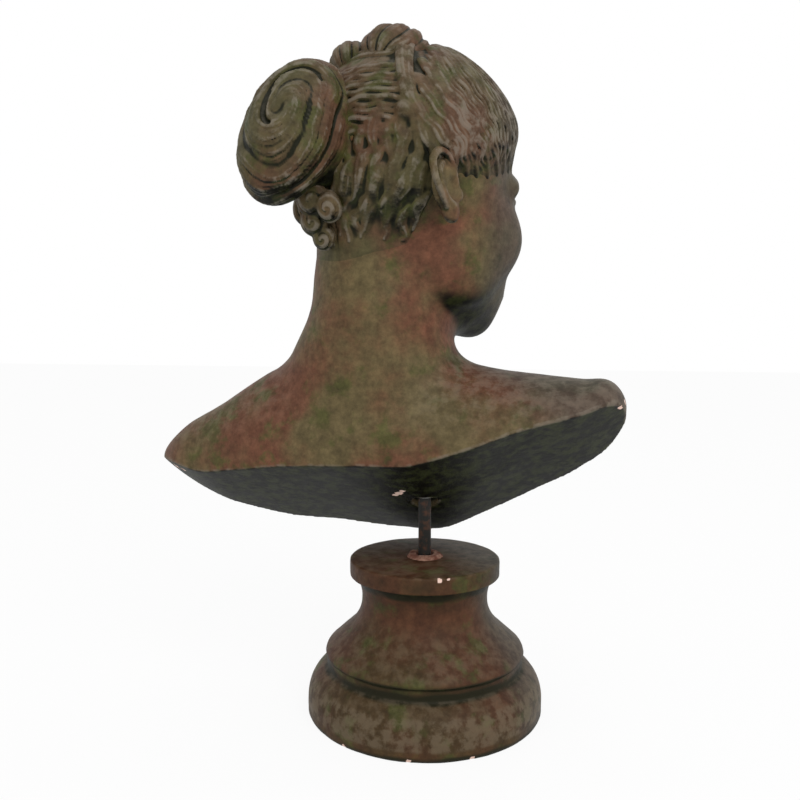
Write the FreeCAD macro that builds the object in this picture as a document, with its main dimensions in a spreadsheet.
"""Classical female bust on a turned round socle, joined by one loose steel pin.

The bust and the socle are castings.  Each holds a blind steel sleeve.  The pin stands in the socle's sleeve
and the bust's sleeve hangs on the pin's top end, so the bust turns on the pin's axis and lifts off it.

Frame: millimetres, +Z up, origin at the centre of the socle's underside, on the pin's axis.
The chest faces -Y, the figure's left is +X.  The head is turned towards the figure's right.
"""
import FreeCAD, Part

import math
import os

import Sketcher

PARTS_DIR = "parts"

# Driving dimensions: alias, value in mm or degrees, what it is.
DIMENSIONS = [
    # socle, a solid of revolution
    ("socle_height", 120.0, "underside to the top disc"),
    ("plinth_radius", 92.5, "largest radius, at the foot"),
    ("plinth_wall_height", 12.0, "upright wall below the torus"),
    ("plinth_height", 36.5, "underside to the fillet's root"),
    ("fillet_radius", 77.0, "upright fillet above the plinth"),
    ("lip_height", 45.5, "underside to the ogee's lip"),
    ("lip_radius", 78.5, "ogee's widest radius"),
    ("ogee_round", 8.0, "convex round at the ogee's foot"),
    ("ogee_slope", 48.0, "ogee's straight run, from the upright"),
    ("waist_radius", 49.5, "narrowest radius"),
    ("scotia_radius", 32.0, "hollow round of the waist"),
    ("disc_radius", 59.0, "top disc"),
    ("disc_height", 13.5, "top disc's band"),
    ("disc_edge", 1.6, "worn round on the disc's edges"),
    ("foot_edge", 1.2, "worn round on the foot's edge"),
    # pin, its two sleeves and the iron in the bust
    ("pin_diameter", 10.0, "round steel bar"),
    ("pin_chamfer", 0.8, "both ends"),
    ("pin_clearance", 0.06, "pin to sleeve, on the radius"),
    ("sleeve_wall", 2.0, "steel tube"),
    ("plug_thickness", 4.0, "disc welded under the socle's sleeve"),
    ("lower_depth", 80.0, "pin held in the socle"),
    ("mouth_gap", 48.0, "socle's top to the mouth of the bust's sleeve"),
    ("upper_depth", 62.0, "pin held in the bust"),
    ("mortar_ring", 3.0, "mortar between the socle's sleeve and its hole"),
    ("mortar_spread", 5.0, "mortar smeared past the hole's edge"),
    ("mortar_proud", 3.5, "mortar's height above the disc"),
    ("bar_length", 190.0, "flat bar across the shoulders"),
    ("bar_width", 30.0, "flat bar across the shoulders"),
    ("bar_thickness", 6.0, "flat bar across the shoulders"),
    ("neck_bar_diameter", 12.0, "round bar through the neck"),
    ("neck_bar_length", 196.0, "round bar through the neck"),
    ("neck_bar_x", 20.0, "round bar's place on the flat bar"),
    # bust: heights are above the mouth of its sleeve
    ("right_reach", 152.0, "pin's axis to the tip of the figure's right shoulder"),
    ("left_reach", 223.0, "pin's axis to the tip of the figure's left shoulder"),
    ("pit_radius", 10.0, "pit round the pin in the underside"),
    ("cut_slope", 32.0, "underside rises towards the back, in degrees"),
    ("cut_below", 5.0, "underside below the sleeve's mouth, on the pin's axis"),
    ("neck_radius_x", 54.0, "neck's half width at its waist"),
    ("neck_radius_y", 53.0, "neck's half depth at its waist"),
    ("neck_waist_x", 35.0, "neck's middle at its waist"),
    ("neck_waist_y", 6.0, "neck's middle at its waist"),
    ("neck_waist_rise", 144.0, "neck's waist"),
    ("head_x", 8.0, "middle of the skull"),
    ("head_y", -4.0, "middle of the skull"),
    ("head_rise", 262.0, "middle of the skull"),
    ("head_turn", 37.0, "towards the figure's right, in degrees"),
    ("skull_length", 88.0, "half length with hair"),
    ("skull_width", 76.0, "half width with hair"),
    ("skull_height", 80.0, "half height with hair"),
    ("chin_drop", 135.0, "skull's middle to the chin"),
    # knot of hair at the back of the head
    ("bun_reach", 110.0, "skull's middle to the bun's middle"),
    ("bun_raise", 0.0, "bun's middle above the skull's middle"),
    ("bun_length", 36.0, "half size, front to back"),
    ("bun_width", 36.0, "half size, side to side"),
    ("bun_height", 51.0, "half size, upright"),
    # bow of hair on the crown
    ("bow_reach", 14.0, "bow's middle behind the skull's middle"),
    ("bow_raise", 61.0, "bow's middle above the skull's middle"),
    ("bow_length", 48.0, "half size, front to back"),
    ("bow_width", 36.0, "half size, side to side"),
    ("bow_height", 32.0, "half size, upright"),
    ("ear_height", 29.0, "half size, upright"),
    ("nose_length", 24.0, "half size, upright"),
]

# Expressions shared by pieces that fit each other ($ stands for the sheet).
SLEEVE_BORE = "$pin_diameter / 2 + $pin_clearance"
SLEEVE_OUTER = f"({SLEEVE_BORE} + $sleeve_wall)"
MORTAR_HOLE = f"({SLEEVE_OUTER} + $mortar_ring)"
LOWER_FOOT = "($socle_height - $lower_depth)"
PLUG_FOOT = f"({LOWER_FOOT} - $plug_thickness)"
MOUTH = "($socle_height + $mouth_gap)"
UPPER_END = f"({MOUTH} + $upper_depth)"

# Shoulders: share of the reach to the tip, then in mm the middle's y, its height above the mouth, half depth
# and half height.
SHOULDER_STATIONS = [
    (-1.00, 8.0, 68.0, 14.0, 15.0),
    (-0.93, 7.0, 62.0, 33.0, 31.0),
    (-0.78, 5.0, 53.0, 47.0, 42.0),
    (-0.56, 1.0, 43.0, 57.0, 55.0),
    (-0.29, -3.0, 34.0, 64.0, 69.0),
    (0.00, -9.0, 29.0, 71.0, 86.0),
    (0.165, -6.0, 28.0, 67.0, 93.0),
    (0.35, 0.0, 28.0, 59.0, 90.0),
    (0.55, 3.0, 23.0, 52.0, 76.0),
    (0.75, 7.0, 24.0, 39.0, 47.0),
    (0.905, 10.0, 25.0, 24.0, 25.0),
    (1.00, 11.0, 25.0, 5.0, 5.0),
]

# How far the underside lifts towards both shoulders: share of the reach, lift in mm.
UNDERSIDE_LIFT = [(-1.25, 106.0), (-1.0, 70.0), (-0.80, 49.0), (-0.52, 31.0), (-0.26, 13.0), (0.0, 0.0),
                  (0.18, -1.0), (0.42, -2.0), (0.64, -4.0), (0.79, -2.0), (0.92, 10.0), (1.14, 46.0)]

# Neck: middle's offset in x and y from the waist's, height above the waist, added half width and half depth.
NECK_STATIONS = [
    (3.0, -12.0, -92.0, 36.0, 4.0),
    (5.0, -8.0, -58.0, 27.0, 4.0),
    (5.0, -3.0, -30.0, 11.0, 1.0),
    (0.0, 0.0, 0.0, 0.0, 0.0),
    (-2.0, -2.0, 32.0, -2.0, 0.0),
    (-5.0, -6.0, 66.0, -4.0, 5.0),
    (-14.0, -9.0, 100.0, -4.0, 8.0),
]

# Face: drop below the skull's middle as a share of chin_drop, forward shift, half depth, half width.
FACE_STATIONS = [
    (1.00, 52.0, 15.0, 14.0),
    (0.93, 46.0, 34.0, 30.0),
    (0.76, 36.0, 49.0, 45.0),
    (0.50, 26.0, 62.0, 58.0),
    (0.20, 14.0, 76.0, 66.0),
    (-0.12, 2.0, 86.0, 70.0),
]


def make_sheet(doc):
    """Spreadsheet whose aliased cells drive the document."""
    sheet = doc.addObject("Spreadsheet::Sheet", "Dimensions")
    for row, (alias, value, note) in enumerate(DIMENSIONS, start=1):
        sheet.set(f"A{row}", alias)
        sheet.set(f"B{row}", str(value))
        sheet.set(f"C{row}", note)
        sheet.setAlias(f"B{row}", alias)
    doc.recompute()
    return sheet


def expand(text):
    """Expression in FreeCAD's own words: $ stands for the sheet's name."""
    return text.replace("$", "Dimensions.")


def bind(obj, **expressions):
    """Drives properties by expressions; a double underscore in a name stands for the dot."""
    for prop, text in expressions.items():
        obj.setExpression(prop.replace("__", "."), expand(text))


def cylinder(doc, name, radius, height, z, x="0 mm", y="0 mm"):
    """Upright Part::Cylinder, its sizes and place given as expressions."""
    obj = doc.addObject("Part::Cylinder", name)
    bind(obj, Radius=radius, Height=height, Placement__Base__x=x, Placement__Base__y=y, Placement__Base__z=z)
    return obj


def cut(doc, name, base, tool):
    """Part::Cut of tool from base."""
    obj = doc.addObject("Part::Cut", name)
    obj.Base = base
    obj.Tool = tool
    return obj


def fuse(doc, name, pieces):
    """Part::MultiFuse of several pieces."""
    obj = doc.addObject("Part::MultiFuse", name)
    obj.Shapes = pieces
    return obj


def new_sketch(body, name, role):
    """Sketch attached to one of the body's own origin planes."""
    sketch = body.newObject("Sketcher::SketchObject", name)
    plane = next(f for f in body.Origin.OriginFeatures if f.Role == role)
    sketch.AttachmentSupport = [(plane, "")]
    sketch.MapMode = "FlatFace"
    return sketch


def constrain(sketch, kind, *references, value, text):
    """Adds a constraint whose value follows an expression."""
    number = sketch.addConstraint(Sketcher.Constraint(kind, *references, value))
    sketch.setExpression(f"Constraints[{number}]", expand(text))


def circle_sketch(body, name, radius, radius_text, z_text):
    """Level sketch of one circle on the upright axis."""
    sketch = new_sketch(body, name, "XY_Plane")
    bind(sketch, AttachmentOffset__Base__z=z_text)
    sketch.addGeometry(Part.Circle(FreeCAD.Vector(), FreeCAD.Vector(0, 0, 1), radius), False)
    sketch.addConstraint(Sketcher.Constraint("Coincident", 0, 3, -1, 1))
    constrain(sketch, "Radius", 0, value=radius, text=radius_text)
    return sketch


def ring_edges(shape, places):
    """Names of the circular edges that lie at one of the places (radius, z)."""
    names = []
    for number, edge in enumerate(shape.Edges, start=1):
        curve = edge.Curve
        if not isinstance(curve, Part.Circle):
            continue
        if any(abs(curve.Radius - r) < 0.01 and abs(curve.Center.z - z) < 0.01 for r, z in places):
            names.append(f"Edge{number}")
    return names


def socle_outline(sheet):
    """Half profile of the socle as twelve edges, in order from the axis at the foot."""
    top, disc_under = sheet.socle_height, sheet.socle_height - sheet.disc_height
    # the torus leaves the plinth's wall upright, so its centre is level with the wall's top
    rise = sheet.plinth_height - sheet.plinth_wall_height
    inset = sheet.plinth_radius - sheet.fillet_radius
    torus = (rise ** 2 + inset ** 2) / (2 * inset)
    # the ogee's straight run is tangent to the convex round below it and to the scotia above it
    slope = math.radians(sheet.ogee_slope)
    ogee_x = sheet.lip_radius - sheet.ogee_round
    scotia_x = sheet.waist_radius + sheet.scotia_radius
    foot_x = ogee_x + sheet.ogee_round * math.cos(slope)
    foot_z = sheet.lip_height + sheet.ogee_round * math.sin(slope)
    head_x = scotia_x - sheet.scotia_radius * math.cos(slope)
    head_z = foot_z + (foot_x - head_x) / math.tan(slope)
    scotia_z = head_z + sheet.scotia_radius * math.sin(slope)
    scotia_turn = math.asin((disc_under - scotia_z) / sheet.scotia_radius)
    neck_x = scotia_x - sheet.scotia_radius * math.cos(scotia_turn)

    def line(x0, z0, x1, z1):
        return Part.LineSegment(FreeCAD.Vector(x0, z0, 0), FreeCAD.Vector(x1, z1, 0))

    def arc(x, z, radius, start, end):
        circle = Part.Circle(FreeCAD.Vector(x, z, 0), FreeCAD.Vector(0, 0, 1), radius)
        return Part.ArcOfCircle(circle, start, end)

    return [
        line(0, 0, sheet.plinth_radius, 0),
        line(sheet.plinth_radius, 0, sheet.plinth_radius, sheet.plinth_wall_height),
        arc(sheet.plinth_radius - torus, sheet.plinth_wall_height, torus, 0, math.asin(rise / torus)),
        line(sheet.fillet_radius, sheet.plinth_height, sheet.fillet_radius, sheet.lip_height),
        line(sheet.fillet_radius, sheet.lip_height, sheet.lip_radius, sheet.lip_height),
        arc(ogee_x, sheet.lip_height, sheet.ogee_round, 0, slope),
        line(foot_x, foot_z, head_x, head_z),
        arc(scotia_x, scotia_z, sheet.scotia_radius, math.pi - scotia_turn, math.pi + slope),
        line(neck_x, disc_under, sheet.disc_radius, disc_under),
        line(sheet.disc_radius, disc_under, sheet.disc_radius, top),
        line(sheet.disc_radius, top, 0, top),
        line(0, top, 0, 0),
    ]


def socle_sketch(body, sheet):
    """Constrained half profile of the socle."""
    sketch = new_sketch(body, "socle_profile", "XZ_Plane")
    outline = socle_outline(sheet)
    sketch.addGeometry(outline, False)
    start, end, centre = 1, 2, 3
    torus, fillet, lip, ogee, run, scotia, band = 2, 3, 4, 5, 6, 7, 9
    # the scotia's arc runs downwards, against the order of the outline
    first = {index: end if index == scotia else start for index in range(len(outline))}
    last = {index: start if index == scotia else end for index in range(len(outline))}
    for index in range(len(outline)):
        after = (index + 1) % len(outline)
        kind = "Coincident"
        if (index, after) in ((ogee, run), (run, scotia)):
            kind = "Tangent"
        sketch.addConstraint(Sketcher.Constraint(kind, index, last[index], after, first[after]))
    for index in (0, lip, 8, 10):
        sketch.addConstraint(Sketcher.Constraint("Horizontal", index))
    for index in (1, fillet, band, 11):
        sketch.addConstraint(Sketcher.Constraint("Vertical", index))
    sketch.addConstraint(Sketcher.Constraint("Coincident", 0, start, -1, 1))

    def place(index, vertex, x_text=None, z_text=None):
        point = sketch.getPoint(index, vertex)
        if x_text:
            constrain(sketch, "DistanceX", -1, 1, index, vertex, value=point.x, text=x_text)
        if z_text:
            constrain(sketch, "DistanceY", -1, 1, index, vertex, value=point.y, text=z_text)

    place(1, end, "$plinth_radius", "$plinth_wall_height")
    place(torus, centre, None, "$plinth_wall_height")
    place(fillet, start, "$fillet_radius", "$plinth_height")
    place(lip, end, "$lip_radius", "$lip_height")
    place(ogee, centre, "$lip_radius - $ogee_round", "$lip_height")
    place(scotia, centre, "$waist_radius + $scotia_radius")
    constrain(sketch, "Radius", scotia, value=sheet.scotia_radius, text="$scotia_radius")
    place(band, end, "$disc_radius", "$socle_height")
    place(band, start, None, "$socle_height - $disc_height")
    constrain(sketch, "Angle", run, 11, value=math.pi - math.radians(sheet.ogee_slope),
              text="180 deg - $ogee_slope * 1 deg")
    return sketch


def make_socle(doc, sheet):
    """Turned casting: plinth and torus, fillet, ogee, scotia, top disc, and the hole for its sleeve."""
    body = doc.addObject("PartDesign::Body", "socle")
    sketch = socle_sketch(body, sheet)
    turned = body.newObject("PartDesign::Revolution", "socle_turned")
    turned.Profile = sketch
    turned.ReferenceAxis = (sketch, ["V_Axis"])
    turned.Angle = 360.0
    doc.recompute()

    top = sheet.socle_height
    disc_rings = [(sheet.disc_radius, top), (sheet.disc_radius, top - sheet.disc_height)]
    disc_edges = body.newObject("PartDesign::Fillet", "disc_edges")
    disc_edges.Base = (turned, ring_edges(turned.Shape, disc_rings))
    bind(disc_edges, Radius="$disc_edge")
    doc.recompute()
    foot_edges = body.newObject("PartDesign::Fillet", "foot_edges")
    foot_edges.Base = (disc_edges, ring_edges(disc_edges.Shape, [(sheet.plinth_radius, 0.0)]))
    bind(foot_edges, Radius="$foot_edge")
    doc.recompute()

    outer = sheet.pin_diameter / 2 + sheet.pin_clearance + sheet.sleeve_wall + sheet.mortar_ring
    hole = body.newObject("PartDesign::Pocket", "sleeve_hole")
    hole.Profile = circle_sketch(body, "sleeve_hole_circle", outer, MORTAR_HOLE, "$socle_height")
    bind(hole, Length="$lower_depth + $plug_thickness")
    body.Tip = hole
    doc.recompute()
    if hole.Shape.Volume >= foot_edges.Shape.Volume:
        raise RuntimeError("the sleeve's hole points away from the socle")
    return body


def make_pin(doc, sheet):
    """Loose round bar, chamfered at both ends, standing on the plug of the socle's sleeve."""
    body = doc.addObject("PartDesign::Body", "mounting_pin")
    radius = sheet.pin_diameter / 2
    bar = body.newObject("PartDesign::Pad", "pin_bar")
    bar.Profile = circle_sketch(body, "pin_circle", radius, "$pin_diameter / 2", LOWER_FOOT)
    bind(bar, Length="$lower_depth + $mouth_gap + $upper_depth")
    doc.recompute()
    foot = sheet.socle_height - sheet.lower_depth
    head = sheet.socle_height + sheet.mouth_gap + sheet.upper_depth
    ends = body.newObject("PartDesign::Chamfer", "pin_ends")
    ends.Base = (bar, ring_edges(bar.Shape, [(radius, foot), (radius, head)]))
    bind(ends, Size="$pin_chamfer")
    body.Tip = ends
    return body


def make_sleeve(doc, name, foot, length):
    """Steel tube that lines a casting's hole for the pin."""
    outer = cylinder(doc, f"{name}_outer", SLEEVE_OUTER, length, foot)
    bore = cylinder(doc, f"{name}_bore", SLEEVE_BORE, length, foot)
    return cut(doc, name, outer, bore)


def make_plug(doc):
    """Disc that closes the socle's sleeve, on the floor of its hole."""
    return cylinder(doc, "socle_sleeve_plug", SLEEVE_OUTER, "$plug_thickness", PLUG_FOOT)


def make_mortar(doc):
    """Mortar between the sleeve and the socle, smeared in a low cone round the mouth."""
    depth = "$lower_depth + $plug_thickness"
    fill = cylinder(doc, "mortar_fill", MORTAR_HOLE, depth, PLUG_FOOT)
    smear = doc.addObject("Part::Cone", "mortar_smear")
    bind(smear, Radius1=f"{MORTAR_HOLE} + $mortar_spread", Radius2=f"{SLEEVE_OUTER} + $sleeve_wall",
         Height="$mortar_proud", Placement__Base__z="$socle_height")
    core = cylinder(doc, "mortar_core", SLEEVE_OUTER, f"{depth} + $mortar_proud", PLUG_FOOT)
    return cut(doc, "socle_mortar", fuse(doc, "mortar_solid", [fill, smear]), core)


def make_shoulder_bar(doc, name):
    """Flat bar across the shoulders, on the end of the bust's sleeve, which it closes."""
    bar = doc.addObject("Part::Box", name)
    bind(bar, Length="$bar_length", Width="$bar_width", Height="$bar_thickness",
         Placement__Base__x="-$bar_length / 2", Placement__Base__y="-$bar_width / 2",
         Placement__Base__z=UPPER_END)
    return bar


def make_neck_bar(doc, name):
    """Round bar that stands on the flat bar and runs up the neck into the skull."""
    return cylinder(doc, name, "$neck_bar_diameter / 2", "$neck_bar_length",
                    f"{UPPER_END} + $bar_thickness", x="$neck_bar_x")


def smooth_ring(centre, first, second, points=12):
    """Closed spline through an ellipse whose half axes are the vectors first and second."""
    turns = [2 * math.pi * i / points for i in range(points)]
    curve = Part.BSplineCurve()
    curve.interpolate(Points=[centre + first * math.cos(t) + second * math.sin(t) for t in turns],
                      PeriodicFlag=True)
    return Part.Wire([curve.toShape()])


def loft(doc, name, rings):
    """Part::Feature lofted through closed wires; no sketched feature gives this free form."""
    obj = doc.addObject("Part::Feature", name)
    obj.Shape = Part.makeLoft(rings, True, False)
    return obj


def reach(sheet, share):
    """Distance along the shoulders from the pin's axis, for a share of the reach on that side."""
    return share * (sheet.left_reach if share > 0 else sheet.right_reach)


def make_shoulders(doc, sheet):
    """Shoulders and chest, from the tip of the figure's right shoulder to the left."""
    mouth = sheet.socle_height + sheet.mouth_gap
    rings = []
    for share, y, rise, depth, height in SHOULDER_STATIONS:
        centre = FreeCAD.Vector(reach(sheet, share), y, mouth + rise)
        rings.append(smooth_ring(centre, FreeCAD.Vector(0, depth, 0), FreeCAD.Vector(0, 0, height)))
    return loft(doc, "shoulders_mass", rings)


def make_neck(doc, sheet):
    """Neck, flaring into the shoulders below and leaning into the skull above."""
    waist = sheet.socle_height + sheet.mouth_gap + sheet.neck_waist_rise
    rings = []
    for dx, dy, rise, width, depth in NECK_STATIONS:
        centre = FreeCAD.Vector(sheet.neck_waist_x + dx, sheet.neck_waist_y + dy, waist + rise)
        rings.append(smooth_ring(centre, FreeCAD.Vector(sheet.neck_radius_x + width, 0, 0),
                                 FreeCAD.Vector(0, sheet.neck_radius_y + depth, 0)))
    return loft(doc, "neck_mass", rings)


def make_face(doc, sheet):
    """Plain mass of the face, lofted up from the chin into the skull."""
    turn = math.radians(sheet.head_turn)
    forward = FreeCAD.Vector(-math.sin(turn), -math.cos(turn), 0)
    side = FreeCAD.Vector(math.cos(turn), -math.sin(turn), 0)
    skull = FreeCAD.Vector(sheet.head_x, sheet.head_y,
                           sheet.socle_height + sheet.mouth_gap + sheet.head_rise)
    rings = []
    for drop, shift, depth, width in FACE_STATIONS:
        centre = skull + forward * shift - FreeCAD.Vector(0, 0, drop * sheet.chin_drop)
        rings.append(smooth_ring(centre, forward * depth, side * width))
    return loft(doc, "face_mass", rings)


def make_lump(doc, name, half_sizes, forward="0", left="0", rise="0"):
    """Ellipsoid that turns with the head: half sizes front to back, across and upright, then its place."""
    lump = doc.addObject("Part::Ellipsoid", name)
    length, width, height = half_sizes
    turn = "$head_turn * 1 deg"
    bind(lump, Radius1=height, Radius2=width, Radius3=length, Placement__Rotation__Angle=f"-{turn}",
         Placement__Base__x=f"$head_x - ({forward}) * sin({turn}) + ({left}) * cos({turn})",
         Placement__Base__y=f"$head_y - ({forward}) * cos({turn}) - ({left}) * sin({turn})",
         Placement__Base__z=f"{MOUTH} + $head_rise + {rise}")
    return lump


def make_head(doc, sheet):
    """Skull with its hair, the face, ears and nose, the knot at the back and the bow on the crown."""
    pieces = [
        make_lump(doc, "skull_mass", ("$skull_length", "$skull_width", "$skull_height")),
        make_face(doc, sheet),
        make_lump(doc, "bun_mass", ("$bun_length", "$bun_width", "$bun_height"),
                  forward="-$bun_reach", rise="$bun_raise"),
        make_lump(doc, "bow_mass", ("$bow_length", "$bow_width", "$bow_height"),
                  forward="-$bow_reach", rise="$bow_raise"),
        make_lump(doc, "nose_mass", ("$nose_length / 2", "$nose_length / 3", "$nose_length"),
                  forward="$skull_length - 3", rise="-0.43 * $chin_drop"),
    ]
    for name, side in (("ear_left", ""), ("ear_right", "-")):
        pieces.append(make_lump(doc, name, ("$ear_height / 2", "$ear_height / 4", "$ear_height"),
                                left=f"{side}0.9 * $skull_width", rise="-0.36 * $chin_drop"))
    return pieces


def make_underside(doc, sheet):
    """Solid below the bust's cut underside, which slopes up to the back and lifts to both shoulders."""
    level = sheet.socle_height + sheet.mouth_gap - sheet.cut_below
    rise = math.tan(math.radians(sheet.cut_slope))
    # larger than the figure in depth and height, so that only the sloping face cuts
    half_depth = 2 * sheet.neck_radius_y + sheet.skull_length
    floor = level - half_depth * rise - sheet.mouth_gap
    rings = []
    for share, lift in UNDERSIDE_LIFT:
        x = reach(sheet, share)
        corners = [(-half_depth, floor), (half_depth, floor), (half_depth, level + lift + half_depth * rise),
                   (-half_depth, level + lift - half_depth * rise)]
        points = [FreeCAD.Vector(x, y, z) for y, z in corners]
        rings.append(Part.makePolygon(points + points[:1]))
    return loft(doc, "underside_tool", rings)


def make_bust(doc, sheet):
    """One casting, cut to its sloping underside and hollow only where its sleeve and iron bars lie."""
    masses = [make_shoulders(doc, sheet), make_neck(doc, sheet)] + make_head(doc, sheet)
    figure = fuse(doc, "figure_mass", masses)
    trimmed = cut(doc, "figure_trimmed", figure, make_underside(doc, sheet))
    # the pit reaches below the underside's lowest point, whatever its slope
    space = fuse(doc, "iron_space", [
        cylinder(doc, "pit_round_pin", "$pit_radius", "$mouth_gap", "$socle_height"),
        cylinder(doc, "sleeve_space", SLEEVE_OUTER, "$upper_depth", MOUTH),
        make_shoulder_bar(doc, "shoulder_bar_space"),
        make_neck_bar(doc, "neck_bar_space"),
    ])
    return cut(doc, "bust", trimmed, space)


def check(doc, parts):
    """Stops the build if an object failed or a sub-part is not one valid solid."""
    for obj in doc.Objects:
        if "Invalid" in obj.State or "Error" in obj.State:
            raise RuntimeError(f"{obj.Label} failed: {obj.State}")
    for part in parts:
        shape = part.Shape
        if shape.isNull() or not shape.isValid() or len(shape.Solids) != 1:
            raise RuntimeError(f"{part.Label} is not one valid solid")


def main():
    """Builds the document and writes one STEP file for each sub-part."""
    doc = FreeCAD.newDocument("classical_bust")
    sheet = make_sheet(doc)
    parts = [
        make_socle(doc, sheet),
        make_mortar(doc),
        make_sleeve(doc, "socle_sleeve", LOWER_FOOT, "$lower_depth"),
        make_plug(doc),
        make_pin(doc, sheet),
        make_bust(doc, sheet),
        make_sleeve(doc, "bust_sleeve", MOUTH, "$upper_depth"),
        make_shoulder_bar(doc, "shoulder_bar"),
        make_neck_bar(doc, "neck_bar"),
    ]
    doc.recompute()
    check(doc, parts)
    os.makedirs(PARTS_DIR, exist_ok=True)
    for part in parts:
        part.Shape.exportStep(os.path.join(PARTS_DIR, f"{part.Label}.step"))
        print(part.Label, round(part.Shape.Volume / 1000.0, 2), "cm3")


main()
